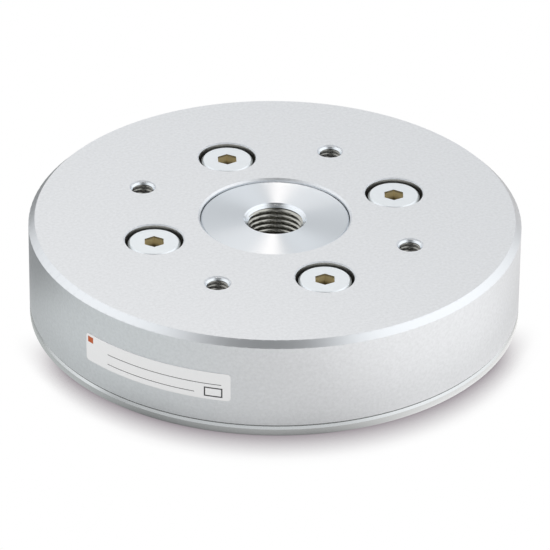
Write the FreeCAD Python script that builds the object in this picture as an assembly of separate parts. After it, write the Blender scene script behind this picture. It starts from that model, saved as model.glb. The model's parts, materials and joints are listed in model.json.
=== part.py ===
import FreeCAD, Part
import math
import os

# A non-contact cyclone gripper: a flat round head that holds a workpiece on swirling air.
# Sizes are in millimetres. The origin is the centre of the suction face underneath, +Z points up
# to the mounting face, and +X passes through the first body screw.

# Outside form
BODY_DIAMETER = 80.0
OVERALL_HEIGHT = 17.0
TOP_CHAMFER = 1.0
EDGE_BREAK = 0.2
JOINT_BREAK = 0.1

# Upper body, a cap over the swirl plate
TOP_WALL = 7.2
RIM_WIDTH = 7.0
RECESS_CORNER = 0.8

# Mounting holes, M4, blind, tapped from the top face
MOUNT_CIRCLE = 47.0
MOUNT_COUNT = 4
MOUNT_THREAD = 4.0
MOUNT_FLOOR = 2.2
MOUNT_CHAMFER = 0.2
DRILL_POINT = 118.0

# Body screws, M5, with low heads and hexagon sockets
SCREW_CIRCLE = 42.0
SCREW_COUNT = 4
SCREW_THREAD = 5.0
SCREW_HOLE = 5.5
SCREW_HEAD = 8.5
SCREW_HEAD_HEIGHT = 3.5
SCREW_HEAD_CHAMFER = 0.3
SCREW_HEAD_SINK = 0.45
SCREW_TIP_CHAMFER = 0.5
SCREW_TIP_GAP = 0.05
COUNTERBORE = 9.5
SOCKET_FLATS = 3.05
SOCKET_DEPTH = 2.0
SOCKET_POINT = 120.0
SOCKET_TURNS = (8.0, 11.0, 10.0, 8.0)

# Port bush with a 1/8-inch pipe thread, clamped by its flange
PORT_THREAD = 9.728
PORT_CHAMFER = 0.25
BUSH_DIAMETER = 24.3
BUSH_SINK = 0.5
BUSH_CHAMFER = 0.3
BUSH_BORE_CHAMFER = 0.3
BUSH_FLANGE = 2.0
BUSH_FLANGE_LAND = 1.6
BUSH_CLEARANCE = 0.05

# Swirl plate with the cup that the air spins in
PLATE_RIM = 1.9
PLATE_CHAMFER_HEIGHT = 0.7
PLATE_CHAMFER_WIDTH = 0.4
REGISTER_HEIGHT = 0.8
REGISTER_CLEARANCE = 0.05
PLENUM_WIDTH = 2.0
CUP_WALL = 4.0
CUP_DEPTH = 5.0
CUP_COVE = 0.3
MOUTH_RADIUS = 1.5

# Air passages: a well and channels from the port to the plenum, nozzles from the plenum to the cup
FEED_WELL = 8.5
CHANNEL_COUNT = 4
CHANNEL_WIDTH = 4.0
CHANNEL_DEPTH = 1.5
NOZZLE_COUNT = 4
NOZZLE_BORE = 1.0
NOZZLE_LAND = 0.2
NOZZLE_SPOTFACE = 2.4
NOZZLE_BACKING = 1.5

# Seals: free cord diameters, and the share of them that is left when the gland closes
RIM_CORD = 2.0
PORT_CORD = 1.5
SCREW_CORD = 1.0
SEAL_PRESSED = 0.8
SEAL_SIDE_GAP = 0.15

# Label on the side
LABEL_WIDTH = 26.6
LABEL_HEIGHT = 4.9
LABEL_CORNER = 0.6
LABEL_THICKNESS = 0.1
LABEL_MIDDLE_HEIGHT = 8.45
LABEL_MIDDLE_ANGLE = -141.1

# How far a cutting shape runs past the surface that it opens
OVERCUT = 1.0

AXIS = FreeCAD.Vector(0, 0, 1)
OUTWARD = FreeCAD.Vector(1, 0, 0)
ORIGIN = FreeCAD.Vector(0, 0, 0)

# Radii, from the outside inwards
body_radius = BODY_DIAMETER / 2
recess_radius = body_radius - RIM_WIDTH
cup_outer_radius = recess_radius - PLENUM_WIDTH
cup_radius = cup_outer_radius - CUP_WALL
bush_radius = BUSH_DIAMETER / 2
bush_bore_radius = bush_radius + BUSH_CLEARANCE
port_radius = PORT_THREAD / 2

# Heights, from the top downwards
joint_height = OVERALL_HEIGHT - TOP_WALL
bush_top = OVERALL_HEIGHT - BUSH_SINK
flange_top = joint_height + BUSH_FLANGE
head_top = OVERALL_HEIGHT - SCREW_HEAD_SINK
head_seat = head_top - SCREW_HEAD_HEIGHT
screw_tip = CUP_DEPTH + SCREW_TIP_GAP

# Seal sections once they are squeezed in their glands
rim_gland_depth = RIM_CORD * SEAL_PRESSED
port_gland_depth = PORT_CORD * SEAL_PRESSED
screw_gland_depth = SCREW_CORD * SEAL_PRESSED


def squeezed_width(cord, depth):
    """Width of a round cord pressed to a depth with its cross-section area kept."""
    return depth + math.pi * (cord ** 2 - depth ** 2) / (4 * depth)


rim_seal_width = squeezed_width(RIM_CORD, rim_gland_depth)
port_seal_width = squeezed_width(PORT_CORD, port_gland_depth)
screw_seal_width = squeezed_width(SCREW_CORD, screw_gland_depth)
rim_seal_radius = (recess_radius + body_radius) / 2
screw_seal_radius = (SCREW_HOLE + screw_seal_width) / 2
screw_gland_radius = screw_seal_radius + screw_seal_width / 2 + SEAL_SIDE_GAP
flange_radius = SCREW_CIRCLE / 2 - screw_gland_radius - BUSH_FLANGE_LAND - BUSH_CLEARANCE


def turned(corners, angle=360):
    """Solid of revolution about Z from the (radius, height) corners of its half section."""
    points = [FreeCAD.Vector(radius, 0, height) for radius, height in corners]
    return Part.Face(Part.makePolygon(points + points[:1])).revolve(ORIGIN, AXIS, angle)


def rounded(solid, radius, height, fillet):
    """The solid with the circular edge of that radius and height rounded."""
    edges = []
    for edge in solid.Edges:
        if not isinstance(edge.Curve, Part.Circle):
            continue
        same_radius = math.isclose(edge.Curve.Radius, radius, abs_tol=1e-6)
        same_height = math.isclose(edge.Curve.Center.z, height, abs_tol=1e-6)
        if same_radius and same_height:
            edges.append(edge)
    return solid.makeFillet(fillet, edges)


def around(shape, count, first_angle=0.0):
    """Copies of a shape, evenly spaced round the Z axis."""
    copies = []
    for index in range(count):
        copy = shape.copy()
        copy.rotate(ORIGIN, AXIS, first_angle + index * 360 / count)
        copies.append(copy)
    return copies


def on_circle(shape, circle):
    """A shape made on the Z axis, moved out along +X to a hole circle."""
    moved = shape.copy()
    moved.translate(FreeCAD.Vector(circle / 2, 0, 0))
    return moved


def screw_hole():
    """Cutter for one body screw: counterbore, clearance hole and the gland of its seal."""
    seat = joint_height + screw_gland_depth
    mouth = COUNTERBORE / 2 + EDGE_BREAK
    return turned([
        (0, joint_height - OVERCUT),
        (screw_gland_radius, joint_height - OVERCUT),
        (screw_gland_radius, seat),
        (SCREW_HOLE / 2, seat),
        (SCREW_HOLE / 2, head_seat),
        (COUNTERBORE / 2, head_seat),
        (COUNTERBORE / 2, OVERALL_HEIGHT - EDGE_BREAK),
        (mouth + OVERCUT, OVERALL_HEIGHT + OVERCUT),
        (0, OVERALL_HEIGHT + OVERCUT),
    ])


def mounting_hole():
    """Cutter for one blind mounting hole with a drill point and a chamfered mouth."""
    radius = MOUNT_THREAD / 2
    floor = joint_height + MOUNT_FLOOR
    point = floor - radius / math.tan(math.radians(DRILL_POINT / 2))
    return turned([
        (0, point),
        (radius, floor),
        (radius, OVERALL_HEIGHT - MOUNT_CHAMFER),
        (radius + MOUNT_CHAMFER + OVERCUT, OVERALL_HEIGHT + OVERCUT),
        (0, OVERALL_HEIGHT + OVERCUT),
    ])


def upper_body():
    """Round cap: bored for the bush, recessed for the plate, with glands in its lower faces."""
    gland_half = rim_seal_width / 2 + SEAL_SIDE_GAP
    gland_roof = PLATE_RIM + rim_gland_depth
    flange_bore = flange_radius + BUSH_CLEARANCE
    body = turned([
        (bush_bore_radius, flange_top),
        (bush_bore_radius, OVERALL_HEIGHT - BUSH_BORE_CHAMFER),
        (bush_bore_radius + BUSH_BORE_CHAMFER, OVERALL_HEIGHT),
        (body_radius - TOP_CHAMFER, OVERALL_HEIGHT),
        (body_radius, OVERALL_HEIGHT - TOP_CHAMFER),
        (body_radius, PLATE_RIM + JOINT_BREAK),
        (body_radius - JOINT_BREAK, PLATE_RIM),
        (rim_seal_radius + gland_half, PLATE_RIM),
        (rim_seal_radius + gland_half, gland_roof),
        (rim_seal_radius - gland_half, gland_roof),
        (rim_seal_radius - gland_half, PLATE_RIM),
        (recess_radius, PLATE_RIM),
        (recess_radius, joint_height),
        (flange_bore, joint_height),
        (flange_bore, flange_top),
    ])
    body = rounded(body, recess_radius, joint_height, RECESS_CORNER)
    screw_holes = around(on_circle(screw_hole(), SCREW_CIRCLE), SCREW_COUNT)
    mounting_holes = around(on_circle(mounting_hole(), MOUNT_CIRCLE), MOUNT_COUNT, 180 / MOUNT_COUNT)
    return body.cut(screw_holes + mounting_holes)


def port_bush():
    """Turned bush: a bored boss with a seal groove, over a flange that the plate clamps."""
    groove_floor = bush_bore_radius - port_gland_depth
    groove_middle = (flange_top + bush_top) / 2
    groove_half = port_seal_width / 2 + SEAL_SIDE_GAP
    return turned([
        (port_radius, joint_height),
        (flange_radius, joint_height),
        (flange_radius, flange_top),
        (bush_radius, flange_top),
        (bush_radius, groove_middle - groove_half),
        (groove_floor, groove_middle - groove_half),
        (groove_floor, groove_middle + groove_half),
        (bush_radius, groove_middle + groove_half),
        (bush_radius, bush_top - BUSH_CHAMFER),
        (bush_radius - BUSH_CHAMFER, bush_top),
        (port_radius + PORT_CHAMFER, bush_top),
        (port_radius, bush_top - PORT_CHAMFER),
    ])


def feed_channel():
    """Cutter for one channel in the top of the plate, from the port out to the plenum."""
    corner = FreeCAD.Vector(0, -CHANNEL_WIDTH / 2, joint_height - CHANNEL_DEPTH)
    return Part.makeBox(cup_outer_radius + OVERCUT, CHANNEL_WIDTH, CHANNEL_DEPTH + OVERCUT, corner)


def nozzle():
    """Cutter for one nozzle, tangent to the cup wall, with the flat that its drill starts on."""
    bore = NOZZLE_BORE / 2
    spotface = NOZZLE_SPOTFACE / 2
    offset = cup_radius - NOZZLE_LAND - bore
    height = CUP_DEPTH - CUP_COVE - bore
    flat = math.sqrt((cup_radius + NOZZLE_BACKING) ** 2 - (offset - spotface) ** 2)
    outside = math.sqrt(cup_outer_radius ** 2 - (offset - spotface) ** 2)
    along = FreeCAD.Vector(0, 1, 0)
    jet = Part.makeCylinder(bore, flat + OVERCUT, FreeCAD.Vector(offset, 0, height), along)
    start = Part.makeCylinder(spotface, outside - flat + OVERCUT, FreeCAD.Vector(offset, flat, height), along)
    return jet.fuse(start)


def swirl_plate():
    """Lower plate: rim, register, cup wall, and the passages that feed the cup from its top."""
    register_top = PLATE_RIM + REGISTER_HEIGHT
    register_radius = recess_radius - REGISTER_CLEARANCE
    plate = turned([
        (0, CUP_DEPTH),
        (cup_radius, CUP_DEPTH),
        (cup_radius, 0),
        (body_radius - EDGE_BREAK, 0),
        (body_radius, EDGE_BREAK),
        (body_radius, PLATE_RIM - PLATE_CHAMFER_HEIGHT),
        (body_radius - PLATE_CHAMFER_WIDTH, PLATE_RIM),
        (register_radius, PLATE_RIM),
        (register_radius, register_top),
        (cup_outer_radius, register_top),
        (cup_outer_radius, joint_height),
        (0, joint_height),
    ])
    plate = rounded(plate, cup_radius, 0, MOUTH_RADIUS)
    plate = rounded(plate, cup_radius, CUP_DEPTH, CUP_COVE)
    well = Part.makeCylinder(
        FEED_WELL / 2, CHANNEL_DEPTH + OVERCUT, FreeCAD.Vector(0, 0, joint_height - CHANNEL_DEPTH)
    )
    tapping = Part.makeCylinder(
        SCREW_THREAD / 2, joint_height - CUP_DEPTH + 2 * OVERCUT, FreeCAD.Vector(0, 0, CUP_DEPTH - OVERCUT)
    )
    passages = [well]
    passages += around(feed_channel(), CHANNEL_COUNT, 180 / CHANNEL_COUNT)
    passages += around(nozzle(), NOZZLE_COUNT)
    passages += around(on_circle(tapping, SCREW_CIRCLE), SCREW_COUNT)
    return plate.cut(passages)


def body_screw(turn):
    """Low-head screw on the Z axis, its socket left at the angle where it was tightened."""
    thread = SCREW_THREAD / 2
    head = SCREW_HEAD / 2
    screw = turned([
        (0, screw_tip),
        (thread - SCREW_TIP_CHAMFER, screw_tip),
        (thread, screw_tip + SCREW_TIP_CHAMFER),
        (thread, head_seat),
        (head, head_seat),
        (head, head_top - SCREW_HEAD_CHAMFER),
        (head - SCREW_HEAD_CHAMFER, head_top),
        (0, head_top),
    ])
    floor = head_top - SOCKET_DEPTH
    corner = SOCKET_FLATS / 2 / math.cos(math.radians(30))
    corners = []
    for index in range(6):
        angle = math.radians(turn + 60 * index)
        corners.append(FreeCAD.Vector(corner * math.cos(angle), corner * math.sin(angle), floor))
    hexagon = Part.Face(Part.makePolygon(corners + corners[:1]))
    socket = hexagon.extrude(AXIS * (SOCKET_DEPTH + OVERCUT))
    point_depth = SOCKET_FLATS / 2 / math.tan(math.radians(SOCKET_POINT / 2))
    point = Part.makeCone(0, SOCKET_FLATS / 2, point_depth, FreeCAD.Vector(0, 0, floor - point_depth))
    return screw.cut([socket, point])


def o_ring(radius, height, depth, width, pressed_along):
    """Seal ring pressed to a depth: flat where the gland closes on it, round at its free sides."""
    middle = FreeCAD.Vector(radius, 0, height)
    pressed = pressed_along * (depth / 2)
    sideways = pressed_along.cross(FreeCAD.Vector(0, 1, 0))
    flat = sideways * ((width - depth) / 2)
    bulge = sideways * (width / 2)
    sides = [
        Part.LineSegment(middle - flat + pressed, middle + flat + pressed),
        Part.Arc(middle + flat + pressed, middle + bulge, middle + flat - pressed),
        Part.LineSegment(middle + flat - pressed, middle - flat - pressed),
        Part.Arc(middle - flat - pressed, middle - bulge, middle - flat + pressed),
    ]
    section = Part.Face(Part.Wire([side.toShape() for side in sides]))
    return section.revolve(ORIGIN, AXIS, 360)


def label():
    """Film label bent round the side of the body, with rounded corners."""
    arc = math.degrees(LABEL_WIDTH / body_radius)
    low = LABEL_MIDDLE_HEIGHT - LABEL_HEIGHT / 2
    high = low + LABEL_HEIGHT
    outside = body_radius + LABEL_THICKNESS
    film = turned([(body_radius, low), (outside, low), (outside, high), (body_radius, high)], arc)
    corners = [edge for edge in film.Edges if math.isclose(edge.Length, LABEL_THICKNESS, rel_tol=1e-6)]
    film = film.makeFillet(LABEL_CORNER, corners)
    film.rotate(ORIGIN, AXIS, LABEL_MIDDLE_ANGLE - arc / 2)
    return film


def rim_o_ring():
    """Seal between the rim of the body and the plate, pressed from above."""
    return o_ring(rim_seal_radius, PLATE_RIM + rim_gland_depth / 2, rim_gland_depth, rim_seal_width, AXIS)


def port_o_ring():
    """Seal in the groove of the bush, pressed outwards against the bore of the body."""
    middle = (flange_top + bush_top) / 2
    return o_ring(bush_bore_radius - port_gland_depth / 2, middle, port_gland_depth, port_seal_width, OUTWARD)


def screw_o_ring():
    """Seal of one screw hole, on the Z axis, pressed between the body and the plate."""
    middle = joint_height + screw_gland_depth / 2
    return o_ring(screw_seal_radius, middle, screw_gland_depth, screw_seal_width, AXIS)


pieces = {
    "upper_body": upper_body(),
    "port_bush": port_bush(),
    "swirl_plate": swirl_plate(),
    "rim_o_ring": rim_o_ring(),
    "port_o_ring": port_o_ring(),
    "label": label(),
}
for index, ring in enumerate(around(on_circle(screw_o_ring(), SCREW_CIRCLE), SCREW_COUNT)):
    pieces[f"screw_o_ring_{index + 1}"] = ring
for index in range(SCREW_COUNT):
    angle = index * 360 / SCREW_COUNT
    turn = SOCKET_TURNS[index % len(SOCKET_TURNS)]
    screw = on_circle(body_screw(turn - angle), SCREW_CIRCLE)
    screw.rotate(ORIGIN, AXIS, angle)
    pieces[f"body_screw_{index + 1}"] = screw

os.makedirs("parts", exist_ok=True)
for name, shape in pieces.items():
    shape.exportStep(f"parts/{name}.step")
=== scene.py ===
import json
import math

import bpy
from mathutils import Matrix, Vector


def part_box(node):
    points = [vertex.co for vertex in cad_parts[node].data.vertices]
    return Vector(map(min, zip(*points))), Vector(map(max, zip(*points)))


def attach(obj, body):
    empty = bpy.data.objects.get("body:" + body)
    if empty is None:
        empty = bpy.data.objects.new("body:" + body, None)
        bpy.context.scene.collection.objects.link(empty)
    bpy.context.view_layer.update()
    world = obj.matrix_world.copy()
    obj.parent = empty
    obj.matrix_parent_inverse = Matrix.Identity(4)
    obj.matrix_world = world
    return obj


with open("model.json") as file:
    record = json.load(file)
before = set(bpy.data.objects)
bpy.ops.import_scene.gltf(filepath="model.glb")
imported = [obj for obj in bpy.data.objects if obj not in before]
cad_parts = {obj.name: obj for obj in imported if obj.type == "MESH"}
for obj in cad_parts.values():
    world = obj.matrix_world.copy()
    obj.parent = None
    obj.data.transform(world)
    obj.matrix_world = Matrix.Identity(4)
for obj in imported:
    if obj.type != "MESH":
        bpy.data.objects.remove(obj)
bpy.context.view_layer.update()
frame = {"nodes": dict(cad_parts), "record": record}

# Swirl plate: the lower half of the gripper, with the shallow cup that the air spins in.
# It is an aluminium disc, turned on a lathe and clear anodised, and drawn up against the body
# by four screws in tapped holes.
MM = 0.001
PLATE_COLOUR = (0.745, 0.775, 0.79, 1)
PLATE_ROUGHNESS = 0.22
PLATE_STRETCH = 0.4
PLATE_RING_SPACING = 0.10 * MM
# Beyond this radius and above this height, the plate lies in its joint with the body, where its colour is
# painted dark as the shade in the gap
PLATE_JOINT_SHADE_ZONE = (39.5 * MM, 1.62 * MM)
# Colour of the painted shade in the gap of a joint
JOINT_GAP_PAINTED_SHADE = (0.20, 0.205, 0.205, 1)
RING_SHADE = 0.93
RING_UNEVENNESS = 0.15
RING_DETAIL = 3.0
RING_DEPTH = 0.02 * MM
RING_STRENGTH = 0.08
SMOOTH_CUT = 0.14
QUARTER_TURN = 0.25


def shader_node(tree, kind, inputs=None, **settings):
    """Add a shader node, set its options, and feed its inputs with values or with other sockets."""
    node = tree.nodes.new("ShaderNode" + kind)
    for name, value in settings.items():
        setattr(node, name, value)
    for socket, value in (inputs or {}).items():
        if isinstance(value, bpy.types.NodeSocket):
            tree.links.new(value, node.inputs[socket])
        else:
            node.inputs[socket].default_value = value
    return node


def calculate(tree, operation, first, second=0.0):
    """One step of arithmetic in a material: the result's socket."""
    return shader_node(tree, "Math", {0: first, 1: second}, operation=operation).outputs[0]


def times(tree, first, second):
    """The product of two values in a material."""
    return calculate(tree, "MULTIPLY", first, second)


def between(tree, value, low, high, start=0.0, end=1.0, way="LINEAR"):
    """A level that goes from low to high while a value goes from a start to an end."""
    inputs = {"Value": value, "From Min": start, "From Max": end, "To Min": low, "To Max": high}
    return shader_node(tree, "MapRange", inputs, interpolation_type=way).outputs[0]


def tint(tree, factor, first, second):
    """A colour between two, by a factor from 0 to 1."""
    return shader_node(tree, "Mix", {0: factor, 6: first, 7: second}, data_type="RGBA").outputs[2]


def dimmed(colour, share):
    """The same colour with a share of its light."""
    return tuple(share * part for part in colour[:3]) + (1,)


def material(name, **values):
    """A new material with one surface shader: the material, its node tree and that shader."""
    made = bpy.data.materials.new(name)
    made.use_nodes = True
    shader = made.node_tree.nodes["Principled BSDF"]
    for socket, value in values.items():
        shader.inputs[socket.replace("_", " ")].default_value = value
    return made, made.node_tree, shader


def feed(shader, socket, value):
    """Drive an input of a surface shader."""
    shader.id_data.links.new(value, shader.inputs[socket])


def dress(node_name, made):
    """Give a solid of the frame its finished material."""
    for slot in frame["nodes"][node_name].material_slots:
        slot.material = made


def place_on_axis(tree):
    """Distance from the Z axis and height, in metres, of the point that is shaded."""
    place = shader_node(tree, "TexCoord").outputs["Object"]
    level = shader_node(tree, "VectorMath", {0: place, 1: (1, 1, 0)}, operation="MULTIPLY")
    radius = shader_node(tree, "VectorMath", {0: level.outputs[0]}, operation="LENGTH")
    height = shader_node(tree, "SeparateXYZ", {0: place})
    return radius.outputs["Value"], height.outputs["Z"]


def lathe_rings(tree, spacing):
    """Uneven fine rings round the Z axis, as a turning tool leaves them, as a value from 0 to 1."""
    radius, height = place_on_axis(tree)
    along = calculate(tree, "DIVIDE", calculate(tree, "ADD", radius, height), spacing)
    inputs = {"W": along, "Scale": 1.0, "Detail": RING_DETAIL}
    return shader_node(tree, "TexNoise", inputs, noise_dimensions="1D").outputs[0]


def turned_metal(name, colour, roughness, stretch, spacing, joint, mouth=0.0):
    """Turned and anodised aluminium: fine rings that stretch the highlights across them.

    Beyond the radius and the height of its joint with the body, the metal is painted dark, as the shade
    that falls in the gap there.
    Inside the mouth's radius, a countersink has left it smooth.
    """
    made, tree, shader = material(
        name, Metallic=1.0, Anisotropic=stretch, Anisotropic_Rotation=QUARTER_TURN
    )
    rings = lathe_rings(tree, spacing)
    radius, height = place_on_axis(tree)
    outer = calculate(tree, "GREATER_THAN", radius, joint[0])
    # Painted shade: in the joint the colour goes dark, as shade falls in the gap between the parts
    in_painted_joint_shade = times(tree, outer, calculate(tree, "GREATER_THAN", height, joint[1]))
    bare = tint(tree, rings, dimmed(colour, RING_SHADE), colour)
    feed(shader, "Base Color", tint(tree, in_painted_joint_shade, bare, JOINT_GAP_PAINTED_SHADE))
    smoother = (1 - RING_UNEVENNESS) * roughness
    rougher = (1 + RING_UNEVENNESS) * roughness
    turned = between(tree, rings, smoother, rougher)
    ringed = calculate(tree, "GREATER_THAN", radius, mouth)
    feed(shader, "Roughness", between(tree, ringed, SMOOTH_CUT, turned))
    tangent = shader_node(tree, "Tangent", direction_type="RADIAL", axis="Z")
    feed(shader, "Tangent", tangent.outputs[0])
    grooves = {"Height": rings, "Strength": RING_STRENGTH, "Distance": RING_DEPTH}
    feed(shader, "Normal", shader_node(tree, "Bump", grooves).outputs[0])
    return made


plate_metal = turned_metal(
    "turned_plate", PLATE_COLOUR, PLATE_ROUGHNESS, PLATE_STRETCH, PLATE_RING_SPACING, PLATE_JOINT_SHADE_ZONE
)
dress("swirl_plate", plate_metal)

# Seals: moulded nitrile rings in glands between the plate, the bush and the body.
# The clamped joint presses them flat, and they show only when the gripper is taken apart.
RUBBER_COLOUR = (0.018, 0.018, 0.019, 1)
RUBBER_BLOOM = (0.045, 0.045, 0.044, 1)
RUBBER_GRAIN = 0.3 * MM
RUBBER_ROUGHNESS = (0.5, 0.75)
RUBBER_SPECULAR = 0.35
GRAIN_DETAIL = 4.0
GRAIN_ROUGHNESS = 0.6


def grain_noise(tree, size):
    """Uneven grain of about the given size in metres, as a value from 0 to 1."""
    place = shader_node(tree, "TexCoord").outputs["Object"]
    inputs = {"Vector": place, "Scale": 1 / size, "Detail": GRAIN_DETAIL, "Roughness": GRAIN_ROUGHNESS}
    return shader_node(tree, "TexNoise", inputs).outputs[0]


rubber, rubber_tree, rubber_shader = material("seal_rubber_skin", Specular_IOR_Level=RUBBER_SPECULAR)
moulded = grain_noise(rubber_tree, RUBBER_GRAIN)
feed(rubber_shader, "Base Color", tint(rubber_tree, moulded, RUBBER_COLOUR, RUBBER_BLOOM))
feed(rubber_shader, "Roughness", between(rubber_tree, moulded, *RUBBER_ROUGHNESS))
for node_name in sorted(frame["nodes"]):
    if "o_ring" in node_name:
        dress(node_name, rubber)

# Port bush: the bright disc in the middle of the top, turned from aluminium, with a pipe thread.
# Its flange is clamped between the body and the plate, so only its face and its bore are seen.
BUSH_COLOUR = (0.835, 0.885, 0.935, 1)
BUSH_ROUGHNESS = 0.34
BUSH_STRETCH = 0.97
BUSH_RING_SPACING = 0.07 * MM
# Beyond this radius and above this height, the bush's rim is painted dark, as shade in its gap against the
# body
BUSH_JOINT_SHADE_ZONE = (12.05 * MM, 16.0 * MM)
CUT_GRAIN = 0.25 * MM
CONE_SHADE = 0.9
CONE_ROUGHNESS = (0.20, 0.30)
THREAD_SHADE = 0.8
# Width of the flat on a crest or in a root, as a share of the pitch
THREAD_FLAT = 0.06
ROWS_PER_PITCH = 16
LINING_GAP = 0.01 * MM
SHARP_EDGE = math.radians(60)
# Darkened well below bare cut metal: part of the shade down in the port is painted into it
PORT_THREAD_SHADED_COLOUR = (0.52, 0.52, 0.485, 1)
PORT_THREAD_ROUGHNESS = (0.10, 0.17)
PORT_THREAD_METAL = 0.95
PORT_PITCH = 0.907 * MM
PORT_CORE = 8.566 / 2 * MM
PORT_TAPER = 1 / 32
PORT_MOUTH_CHAMFER = 0.25 * MM
PORT_CONE = 0.39 * MM
PORT_COLUMNS = 96


def cut_metal(name, colour, shade, roughness, metallic=1.0):
    """Bare cut metal, with the uneven tone and shine that a tap or a countersink leaves."""
    made, tree, shader = material(name, Metallic=metallic)
    chatter = grain_noise(tree, CUT_GRAIN)
    feed(shader, "Base Color", tint(tree, chatter, dimmed(colour, shade), colour))
    feed(shader, "Roughness", between(tree, chatter, *roughness))
    return made


cone_metal = cut_metal("cut_cone", BUSH_COLOUR, CONE_SHADE, CONE_ROUGHNESS)


def thread_lining(name, metal, centre, top, depth, threaded, bore, core, pitch, taper, cone, columns):
    """Sleeve that lines a hole with a countersink and, below it, an internal thread.

    Crests stand at the core radius and roots at the bore. Below the threaded stretch, the sleeve
    stays at the core radius, where the drill stopped.
    """
    rows = round(depth / pitch * ROWS_PER_PITCH)
    places = []
    on_cone = []
    for row in range(rows + 1):
        down = depth * row / rows
        for column in range(columns):
            turn = column / columns
            flank = abs(2 * ((down / pitch + turn) % 1.0) - 1)
            flank = min(max((flank - THREAD_FLAT) / (1 - 2 * THREAD_FLAT), 0.0), 1.0)
            crest = 1.0 if down > threaded else flank
            thread_radius = bore - LINING_GAP - (bore - core) * crest - taper * down
            cone_radius = bore - LINING_GAP - down
            on_cone.append(down < cone or cone_radius > thread_radius)
            radius = cone_radius if on_cone[-1] else thread_radius
            angle = 2 * math.pi * turn
            places.append((radius * math.cos(angle), radius * math.sin(angle), -down))
    outer = len(places)
    for down in (depth, 0.0):
        for column in range(columns):
            angle = 2 * math.pi * column / columns
            places.append((bore * math.cos(angle), bore * math.sin(angle), -down))
    faces = []
    for row in range(rows + 2):
        here = row * columns
        below = here + columns
        for column in range(columns):
            beside = (column + 1) % columns
            faces.append((here + column, below + column, below + beside, here + beside))
    last = outer + columns
    for column in range(columns):
        beside = (column + 1) % columns
        faces.append((last + column, column, beside, last + beside))
    mesh = bpy.data.meshes.new(name)
    mesh.from_pydata(places, [], faces)
    mesh.validate()
    mesh.shade_smooth()
    mesh.set_sharp_from_angle(angle=SHARP_EDGE)
    mesh.materials.append(metal)
    mesh.materials.append(cone_metal)
    for face in mesh.polygons:
        countersunk = all(corner < outer and on_cone[corner] for corner in face.vertices)
        face.material_index = int(countersunk)
    lining = bpy.data.objects.new(name, mesh)
    lining.location = (centre[0], centre[1], top)
    bpy.context.scene.collection.objects.link(lining)
    return lining


mounts = {mount["name"]: mount for mount in frame["record"]["mounts"]}
port = mounts["air_port"]["dims"]
port_mouth = port["r_mm"] * MM + PORT_MOUTH_CHAMFER
bush_metal = turned_metal(
    "turned_bush", BUSH_COLOUR, BUSH_ROUGHNESS, BUSH_STRETCH, BUSH_RING_SPACING, BUSH_JOINT_SHADE_ZONE, port_mouth
)
dress("port_bush", bush_metal)
port_metal = cut_metal(
    "cut_port_thread", PORT_THREAD_SHADED_COLOUR, THREAD_SHADE, PORT_THREAD_ROUGHNESS, PORT_THREAD_METAL
)
bush_low, bush_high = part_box("port_bush")
port_thread = thread_lining(
    "port_thread",
    port_metal,
    centre=(0, 0),
    top=bush_high.z - PORT_MOUTH_CHAMFER,
    depth=port["length_mm"] * MM,
    threaded=port["length_mm"] * MM,
    bore=port["r_mm"] * MM,
    core=PORT_CORE,
    pitch=PORT_PITCH,
    taper=PORT_TAPER,
    cone=PORT_CONE,
    columns=PORT_COLUMNS,
)
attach(port_thread, "root")

# Upper body: the round cap that carries everything, turned from aluminium bar, bead blasted and
# clear anodised. Four tapped holes in its top take the screws of the robot's flange.
BODY_COLOUR = (0.841, 0.871, 0.904, 1)
BODY_SHADE = (0.757, 0.786, 0.816, 1)
BODY_ROUGHNESS = (0.36, 0.46)
BLAST_GRAIN = 0.5 * MM
BLAST_CONTRAST = (0.3, 0.7)
PIT_DEPTH = 0.05 * MM
PIT_STRENGTH = 0.12
# The chamfer, cut after the blasting, is where radius and height add up to more than this
CHAMFER_CONE = 55.99 * MM
CHAMFER_SPECKLE = 0.5
CHAMFER_SMOOTHNESS = 0.72
# The holes in the top lie between these two radii, and their edges are broken; below the broken edges,
# their walls are painted dark as shade
HOLE_RING = (14 * MM, 38.5 * MM)
EDGE_BREAK = 0.2 * MM
EDGE_TOP = 0.02 * EDGE_BREAK
EDGE_ROUGHNESS = 0.75
# Colour painted on the walls down in the holes, as the shade that falls in them
BORE_PAINTED_SHADE = (0.33, 0.325, 0.30, 1)
# Darkened well below bare cut metal: part of the shade down in the tapped holes is painted into it
MOUNT_THREAD_SHADED_COLOUR = (0.33, 0.33, 0.31, 1)
MOUNT_THREAD_ROUGHNESS = (0.15, 0.24)
MOUNT_PITCH = 0.7 * MM
MOUNT_CORE = 3.242 / 2 * MM
MOUNT_MOUTH_CHAMFER = 0.2 * MM
MOUNT_CONE = 0.34 * MM
MOUNT_DEPTH = 4.8 * MM
MOUNT_THREADED = 4.0 * MM
MOUNT_COLUMNS = 48


def within(tree, value, low, high):
    """1 where a value lies between two limits, 0 elsewhere."""
    over = calculate(tree, "GREATER_THAN", value, low)
    return times(tree, over, calculate(tree, "LESS_THAN", value, high))


body_metal, body_tree, body_shader = material("blasted_body", Metallic=1.0)
body_low, body_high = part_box("upper_body")
broken_from = body_high.z - EDGE_BREAK
blast = grain_noise(body_tree, BLAST_GRAIN)
radius, height = place_on_axis(body_tree)
machined = calculate(body_tree, "GREATER_THAN", calculate(body_tree, "ADD", radius, height), CHAMFER_CONE)
in_ring = within(body_tree, radius, *HOLE_RING)
broken = times(body_tree, within(body_tree, height, broken_from, body_high.z - EDGE_TOP), in_ring)
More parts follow.
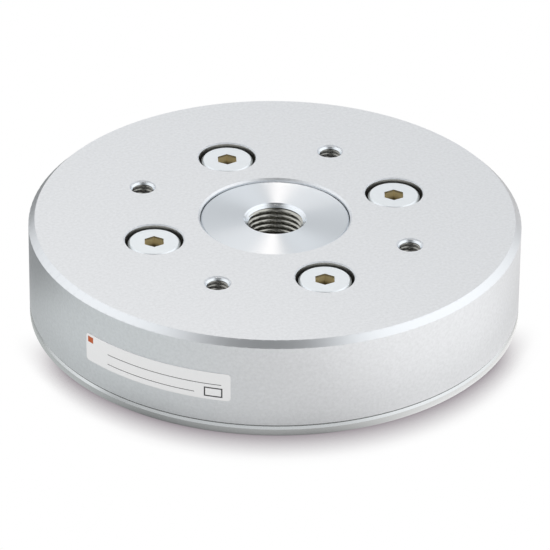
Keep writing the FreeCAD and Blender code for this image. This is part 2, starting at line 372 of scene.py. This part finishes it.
# Painted shade: the walls down in the holes take a dark colour
in_painted_bore_shade = times(body_tree, calculate(body_tree, "LESS_THAN", height, broken_from), in_ring)
speckle = between(body_tree, blast, 0.0, 1.0, *BLAST_CONTRAST)
speckle = between(body_tree, machined, speckle, CHAMFER_SPECKLE)
blasted = tint(body_tree, speckle, BODY_SHADE, BODY_COLOUR)
feed(body_shader, "Base Color", tint(body_tree, in_painted_bore_shade, blasted, BORE_PAINTED_SHADE))
smoothed = between(body_tree, machined, 1.0, CHAMFER_SMOOTHNESS)
dulled = times(body_tree, between(body_tree, blast, *BODY_ROUGHNESS), smoothed)
feed(body_shader, "Roughness", between(body_tree, broken, dulled, EDGE_ROUGHNESS))
pits = {"Height": blast, "Strength": PIT_STRENGTH, "Distance": PIT_DEPTH}
feed(body_shader, "Normal", shader_node(body_tree, "Bump", pits).outputs[0])
dress("upper_body", body_metal)

mount_metal = cut_metal("cut_mount_thread", MOUNT_THREAD_SHADED_COLOUR, THREAD_SHADE, MOUNT_THREAD_ROUGHNESS)
holes = mounts["mounting_holes"]
hole_circle = holes["dims"]["pcd_mm"] / 2 * MM
hole_count = holes["dims"]["count"]
for index in range(hole_count):
    angle = 2 * math.pi * (index + 0.5) / hole_count
    mount_thread = thread_lining(
        f"mount_thread_{index + 1}",
        mount_metal,
        centre=(hole_circle * math.cos(angle), hole_circle * math.sin(angle)),
        top=holes["pos_m"][2] - MOUNT_MOUTH_CHAMFER,
        depth=MOUNT_DEPTH,
        threaded=MOUNT_THREADED,
        bore=holes["dims"]["hole_r_mm"] * MM,
        core=MOUNT_CORE,
        pitch=MOUNT_PITCH,
        taper=0.0,
        cone=MOUNT_CONE,
        columns=MOUNT_COLUMNS,
    )
    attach(mount_thread, "root")

# Body screws: low-head steel screws with hexagon sockets, bright plated, sunk in counterbores.
# The plating is thin and yellowish down in the sockets, and their colour is painted darker just under the
# mouth and deep down, as the shade there.
SCREW_COUNT = 4
PLATED_COLOUR = (0.90, 0.955, 0.995, 1)
PLATED_SHADE = (0.85, 0.90, 0.94, 1)
PLATED_ROUGHNESS = (0.34, 0.42)
FORMING_GRAIN = 0.6 * MM
SOCKET_COLOUR = (0.94, 0.83, 0.53, 1)
SOCKET_PAINTED_SHADE = (0.22, 0.185, 0.10, 1)
SOCKET_METAL = 0.55
SOCKET_RADIUS = 1.76 * MM
SOCKET_DEPTH = 2.95 * MM
SOCKET_EDGE = 0.02 * MM
# Depths between which the painted shade lifts below the mouth, and deepens again further down
SOCKET_BRIGHTENS = (0.0, 0.55 * MM)
SOCKET_DARKENS = (1.0 * MM, 2.0 * MM)


def soft_step(tree, value, start, end, low=0.0, high=1.0):
    """A smooth change from one level to another while a value goes from a start to an end."""
    return between(tree, value, low, high, start, end, "SMOOTHSTEP")


plated, plated_tree, plated_shader = material("plated_screw")
screw_low, screw_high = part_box("body_screw_1")
forming = grain_noise(plated_tree, FORMING_GRAIN)
spot = shader_node(plated_tree, "TexCoord")
# From 0 to 1 across the screw, so that one material fits all four
from_middle = {0: spot.outputs["Generated"], 1: (0.5, 0.5, 0.0)}
shifted = shader_node(plated_tree, "VectorMath", from_middle, operation="SUBTRACT").outputs[0]
level = shader_node(plated_tree, "VectorMath", {0: shifted, 1: (1, 1, 0)}, operation="MULTIPLY")
reach = shader_node(plated_tree, "VectorMath", {0: level.outputs[0]}, operation="LENGTH")
socket_share = SOCKET_RADIUS / (screw_high.x - screw_low.x)
inside = calculate(plated_tree, "LESS_THAN", reach.outputs["Value"], socket_share)
height = shader_node(plated_tree, "SeparateXYZ", {0: spot.outputs["Object"]}).outputs["Z"]
sunk = within(plated_tree, height, screw_high.z - SOCKET_DEPTH, screw_high.z - SOCKET_EDGE)
socket = times(plated_tree, inside, sunk)
depth = calculate(plated_tree, "SUBTRACT", screw_high.z, height)
# Painted shade in the socket: 1 where the golden colour shows fully, 0 where it is painted dark
socket_unshaded = times(
    plated_tree,
    soft_step(plated_tree, depth, *SOCKET_BRIGHTENS),
    soft_step(plated_tree, depth, *SOCKET_DARKENS, 1.0, 0.0),
)
inside_colour = tint(plated_tree, socket_unshaded, SOCKET_PAINTED_SHADE, SOCKET_COLOUR)
outside_colour = tint(plated_tree, forming, PLATED_SHADE, PLATED_COLOUR)
feed(plated_shader, "Base Color", tint(plated_tree, socket, outside_colour, inside_colour))
feed(plated_shader, "Metallic", between(plated_tree, socket, 1.0, SOCKET_METAL))
feed(plated_shader, "Roughness", between(plated_tree, forming, *PLATED_ROUGHNESS))
for index in range(SCREW_COUNT):
    dress(f"body_screw_{index + 1}", plated)

# Label: a strip of silver polyester film stuck to the side of the body.
# It has a small orange tick in one corner, two blank writing lines and an empty square.
FILM_COLOUR = (0.915, 0.92, 0.92, 1)
FILM_SHADE = (0.89, 0.895, 0.90, 1)
FILM_ROUGHNESS = (0.34, 0.44)
FILM_SPECULAR = 0.4
FILM_GRAIN = 1.2 * MM
INK_COLOUR = (0.045, 0.045, 0.05, 1)
TICK_COLOUR = (0.54, 0.10, 0.012, 1)
BODY_RADIUS = 40.0 * MM
LABEL_MIDDLE_ANGLE = math.radians(-141.1)
# Each mark: from left to right of the label's middle, then from bottom to top of it
TICK = ((-12.9 * MM, -11.7 * MM), (0.95 * MM, 2.0 * MM))
WRITING_LINES = (
    ((-8.5 * MM, 11.8 * MM), (0.28 * MM, 0.40 * MM)),
    ((-8.5 * MM, 7.4 * MM), (-1.50 * MM, -1.38 * MM)),
)
SQUARE = ((9.0 * MM, 12.0 * MM), (-1.95 * MM, -0.25 * MM))
SQUARE_LINE = 0.22 * MM


def printed_box(tree, across, up, box):
    """1 inside a printed rectangle on the label, 0 elsewhere."""
    return times(tree, within(tree, across, *box[0]), within(tree, up, *box[1]))


film, film_tree, film_shader = material("label_film_blank", Specular_IOR_Level=FILM_SPECULAR)
label_low, label_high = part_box("label")
place = shader_node(film_tree, "TexCoord").outputs["Object"]
parts = shader_node(film_tree, "SeparateXYZ", {0: place}).outputs
angle = calculate(film_tree, "ARCTAN2", parts["Y"], parts["X"])
turn = calculate(film_tree, "SUBTRACT", angle, LABEL_MIDDLE_ANGLE)
across = times(film_tree, turn, BODY_RADIUS)
up = calculate(film_tree, "SUBTRACT", parts["Z"], (label_low.z + label_high.z) / 2)
hollow = [(low + SQUARE_LINE, high - SQUARE_LINE) for low, high in SQUARE]
filled_square = printed_box(film_tree, across, up, SQUARE)
ink = calculate(film_tree, "SUBTRACT", filled_square, printed_box(film_tree, across, up, hollow))
for line in WRITING_LINES:
    ink = calculate(film_tree, "ADD", ink, printed_box(film_tree, across, up, line))
crease = grain_noise(film_tree, FILM_GRAIN)
bare_film = tint(film_tree, crease, FILM_SHADE, FILM_COLOUR)
inked = tint(film_tree, ink, bare_film, INK_COLOUR)
ticked = tint(film_tree, printed_box(film_tree, across, up, TICK), inked, TICK_COLOUR)
feed(film_shader, "Base Color", ticked)
feed(film_shader, "Roughness", between(film_tree, crease, *FILM_ROUGHNESS))
dress("label", film)

# Floor: a plain white table top that only glows, with a painted soft shadow where the gripper stands on
# it.
# The metal mirrors it in painted tones, as of a table that is bright beside the gripper and dim at its
# foot.
# Directions on it are those of the photograph: to the right, to the back and up.
VIEW_TURN = math.radians(-22.5)
FLOOR_SIZE = 4.0
FLOOR_DROP = 0.02 * MM
FLOOR_WHITE = (1, 1, 1, 1)
FLOOR_SHADE = (0.34, 0.305, 0.33, 1)
COOL_FLOOR = (0.975, 0.998, 0.978, 1)
WARM_FLOOR = (1.045, 1.015, 0.992, 1)
HUE_ACROSS = (-40 * MM, 40 * MM)
# The painted shadow goes by how open the sky is. Its place runs from -1, straight in front, to 1 behind
SHADOW_REACH = 9.0 * MM
SHADOW_LEAN = 0.06
SHADOW_DARKEST = 0.5
SHADOW_ENDS = (0.77, 0.955, -0.4, -1.0)
SHADOW_FRONT = (-0.15, -0.55)
# Each mirrored tone: where its change starts and ends, and the tone before and after it
TONE_LEAN = 0.4
FAR_LEFT = (-64 * MM, -38 * MM, 0.28, 0.70)
FAR_RIGHT = (30 * MM, 62 * MM, 0.0, 0.32)
NEAR_LEFT = (-5 * MM, -25 * MM, 0.0, 0.70)
NEAR_RIGHT = (22 * MM, 42 * MM, 0.18, 1.35)
TOWARDS_BACK = (-22 * MM, 8 * MM, 1.0, 0.875)
FOOT_LEFT = (15 * MM, -8 * MM, 0.92, 0.73)
FOOT_RIGHT = (20 * MM, 40 * MM, 0.0, 0.04)
FOOT_REACH = (41 * MM, 52 * MM)

to_right = Vector((math.cos(VIEW_TURN), math.sin(VIEW_TURN), 0))
to_back = Vector((-math.sin(VIEW_TURN), math.cos(VIEW_TURN), 0))
straight_up = Vector((0, 0, 1))


def part_along(tree, place, direction):
    """How far a place lies along a direction."""
    inputs = {0: place, 1: direction}
    return shader_node(tree, "VectorMath", inputs, operation="DOT_PRODUCT").outputs["Value"]


floor_mesh = bpy.data.meshes.new("floor")
half = FLOOR_SIZE / 2
corners = [(-half, -half, 0), (half, -half, 0), (half, half, 0), (-half, half, 0)]
floor_mesh.from_pydata(corners, [], [(0, 1, 2, 3)])
floor = bpy.data.objects.new("floor", floor_mesh)
floor.location.z = -FLOOR_DROP
bpy.context.scene.collection.objects.link(floor)

floor_paint = bpy.data.materials.new("floor_paint")
floor_paint.use_nodes = True
floor_tree = floor_paint.node_tree
floor_tree.nodes.clear()
place = shader_node(floor_tree, "TexCoord").outputs["Object"]
distance = place_on_axis(floor_tree)[0]
ahead = part_along(floor_tree, place, to_back - SHADOW_LEAN * to_right)
ahead = calculate(floor_tree, "DIVIDE", ahead, distance)
open_sky = shader_node(floor_tree, "AmbientOcclusion", {"Distance": SHADOW_REACH}).outputs["AO"]
shadow_end = between(floor_tree, ahead, *SHADOW_ENDS)
lit = between(floor_tree, open_sky, 0.0, 1.0, SHADOW_DARKEST, shadow_end)
in_front = soft_step(floor_tree, ahead, *SHADOW_FRONT)
# Painted shadow: the glow goes towards the shade colour where the sky is closed
seen_floor = tint(floor_tree, between(floor_tree, in_front, 1.0, lit), FLOOR_SHADE, FLOOR_WHITE)

sideways = part_along(floor_tree, place, to_right - TONE_LEAN * to_back)
slanting = part_along(floor_tree, place, to_right - to_back)
backwards = part_along(floor_tree, place, to_back)
far_left = soft_step(floor_tree, slanting, *FAR_LEFT)
far_right = soft_step(floor_tree, sideways, *FAR_RIGHT)
near_left = soft_step(floor_tree, sideways, *NEAR_LEFT)
near_right = soft_step(floor_tree, sideways, *NEAR_RIGHT)
far_tone = calculate(floor_tree, "ADD", far_left, far_right)
near_tone = calculate(floor_tree, "ADD", near_right, near_left)
# Painted reflection: the tones that glossy rays see, dim at the foot and to the left, bright to the right
mirrored = between(floor_tree, calculate(floor_tree, "SQRT", lit), near_tone, far_tone)
mirrored = times(floor_tree, mirrored, soft_step(floor_tree, backwards, *TOWARDS_BACK))
foot_left = soft_step(floor_tree, sideways, *FOOT_LEFT)
foot_right = soft_step(floor_tree, sideways, *FOOT_RIGHT)
foot_tone = calculate(floor_tree, "SUBTRACT", foot_left, foot_right)
off_foot = soft_step(floor_tree, distance, *FOOT_REACH)
mirrored = times(floor_tree, mirrored, between(floor_tree, off_foot, foot_tone, 1.0))
hue = tint(floor_tree, soft_step(floor_tree, sideways, *HUE_ACROSS), COOL_FLOOR, WARM_FLOOR)
hued = shader_node(floor_tree, "VectorMath", {0: hue, 1: mirrored}, operation="MULTIPLY").outputs[0]
floor_ray = shader_node(floor_tree, "LightPath").outputs
floor_colour = tint(floor_tree, floor_ray["Is Glossy Ray"], seen_floor, hued)
glow = shader_node(floor_tree, "Emission", {"Color": floor_colour})
shader_node(floor_tree, "OutputMaterial", {"Surface": glow.outputs[0]})
floor_mesh.materials.append(floor_paint)

# Light: a tent of white cloth round the table, dimmer at its back, with a dark gap at its front and
# over the top, where the lens looks in, and a strip of cloth across that gap.
# Two warm lamps shine through the cloth from behind the gripper.
BACKDROP_WHITE = (1, 1, 1, 1)
# Each change of light: where it starts and ends along its direction, and the light before and after it
CLOTH_ACROSS = (-1.0, 1.0, 1.10, 1.22)
CLOTH_FOOT = (0.10, 0.55)
FOOT_LIGHT = (0.80, 0.92)
BESIDE = (0.78, 0.93)
BESIDE_LEAN = 0.35
BESIDE_FRONT = (0.6, 0.3)
BACK_FRONT = (0.20, 0.60)
BACK_TOP = (0.85, 0.60)
BACK_WIDTH = (0.75, 0.40)
BACK_ACROSS = (-0.6, 0.6, 0.93, 0.495)
BACK_FOOT = (-0.08, 0.33, 0.15, 1.0)
GAP_FRONT = (-0.12, -0.42)
GAP_LEAN = 0.5
GAP_WIDTH_BELOW = (-0.3, 0.3, 1.25, 0.85)
GAP_WIDTH_ABOVE = 0.20
GAP_BORDER = (0.20, -0.15)
GAP_IN_SOFT_LIGHT = 0.75
GAP_UPWARD = (0.50, 0.80, 0.105, 0.20)
GAP_OVERHEAD = (0.92, 0.98, 1.0, 0.34)
STRIP_BOTTOM = (0.24, 0.36)
STRIP_TOP = (0.68, 0.57)
STRIP_LIGHT = 0.72
LAMP_COLOUR = (1.0, 0.87, 0.77)
# Each lamp: bearing to the right of straight behind and rise in degrees, distance, width and height
# in metres, and radiance
LAMPS = {
    "overhead_lamp": (-4, 66, 0.9, 0.12, 0.5, 3.05),
    "left_lamp": (-32, 51, 0.9, 0.4, 0.4, 0.46),
}

world = bpy.data.worlds.new("light_tent")
world.use_nodes = True
world_tree = world.node_tree
world_ray = shader_node(world_tree, "LightPath").outputs
outward = shader_node(world_tree, "TexCoord").outputs["Generated"]
rightward = part_along(world_tree, outward, to_right)
backward = part_along(world_tree, outward, to_back)
upward = part_along(world_tree, outward, straight_up)
aside = calculate(world_tree, "ABSOLUTE", rightward)

slanted = calculate(world_tree, "SUBTRACT", backward, times(world_tree, rightward, BESIDE_LEAN))
beside = soft_step(world_tree, aside, *BESIDE)
beside = times(world_tree, beside, soft_step(world_tree, slanted, *BESIDE_FRONT))
foot_light = between(world_tree, beside, *FOOT_LIGHT)
cloth = soft_step(world_tree, rightward, *CLOTH_ACROSS)
cloth = times(world_tree, cloth, soft_step(world_tree, upward, *CLOTH_FOOT, foot_light, 1.0))

low_back = times(
    world_tree, soft_step(world_tree, upward, *BACK_TOP), soft_step(world_tree, backward, *BACK_FRONT)
)
low_back = times(world_tree, low_back, soft_step(world_tree, aside, *BACK_WIDTH))
back = soft_step(world_tree, rightward, *BACK_ACROSS)
back = times(world_tree, back, soft_step(world_tree, upward, *BACK_FOOT))
tent = between(world_tree, low_back, cloth, back)

leaning = calculate(world_tree, "SUBTRACT", backward, times(world_tree, upward, GAP_LEAN))
width_below = soft_step(world_tree, rightward, *GAP_WIDTH_BELOW)
gap_width = between(world_tree, upward, width_below, GAP_WIDTH_ABOVE)
past_border = calculate(world_tree, "SUBTRACT", aside, gap_width)
gap = times(
    world_tree, soft_step(world_tree, leaning, *GAP_FRONT), soft_step(world_tree, past_border, *GAP_BORDER)
)
gap = times(world_tree, gap, between(world_tree, world_ray["Is Glossy Ray"], GAP_IN_SOFT_LIGHT, 1.0))
strip = times(
    world_tree, soft_step(world_tree, upward, *STRIP_BOTTOM), soft_step(world_tree, upward, *STRIP_TOP)
)
gap_light = between(world_tree, strip, soft_step(world_tree, upward, *GAP_UPWARD), STRIP_LIGHT)
gap_light = times(world_tree, gap_light, soft_step(world_tree, upward, *GAP_OVERHEAD))
tent = times(world_tree, tent, between(world_tree, gap, 1.0, gap_light))
shown = tint(world_tree, world_ray["Is Camera Ray"], tent, BACKDROP_WHITE)
world_tree.links.new(shown, world_tree.nodes["Background"].inputs["Color"])
bpy.context.scene.world = world

for lamp_name, (bearing, rise, distance, width, height, radiance) in LAMPS.items():
    lamp = bpy.data.lights.new(lamp_name, "AREA")
    lamp.shape = "RECTANGLE"
    lamp.size = width
    lamp.size_y = height
    lamp.color = LAMP_COLOUR
    lamp.energy = math.pi * width * height * radiance
    bearing = math.radians(bearing)
    rise = math.radians(rise)
    level = to_back * math.cos(bearing) + to_right * math.sin(bearing)
    towards = level * math.cos(rise) + straight_up * math.sin(rise)
    stand = bpy.data.objects.new(lamp_name, lamp)
    stand.location = towards * distance
    stand.rotation_euler = towards.to_track_quat("Z", "Y").to_euler()
    stand.visible_camera = False
    bpy.context.scene.collection.objects.link(stand)

# Camera: a long lens that looks down at the gripper through the gap in the tent.
# It stands where the photograph was taken from, and leans over a little as that camera did.
CAMERA_RISE = math.radians(30.47)
CAMERA_ROLL = math.radians(0.60)
CAMERA_DISTANCE = 800 * MM
CAMERA_LENS = 320.5
CAMERA_SIGHT = 50.0
AIM_SIDEWAYS = 0.09 * MM
AIM_HEIGHT = 5.81 * MM

forward = to_back * math.cos(CAMERA_RISE) - straight_up * math.sin(CAMERA_RISE)
over = to_right.cross(forward)
camera_right = to_right * math.cos(CAMERA_ROLL) + over * math.sin(CAMERA_ROLL)
camera_up = over * math.cos(CAMERA_ROLL) - to_right * math.sin(CAMERA_ROLL)
aim = to_right * AIM_SIDEWAYS + straight_up * AIM_HEIGHT
stood = Matrix.Translation(aim - forward * CAMERA_DISTANCE)
turned = Matrix((camera_right, camera_up, -forward)).transposed().to_4x4()
camera = bpy.data.objects.new("camera", bpy.data.cameras.new("camera"))
camera.data.lens = CAMERA_LENS
camera.data.clip_end = CAMERA_SIGHT
camera.matrix_world = stood @ turned
bpy.context.scene.collection.objects.link(camera)
bpy.context.scene.camera = camera
bpy.context.scene.view_settings.view_transform = "Standard"

bpy.context.view_layer.update()
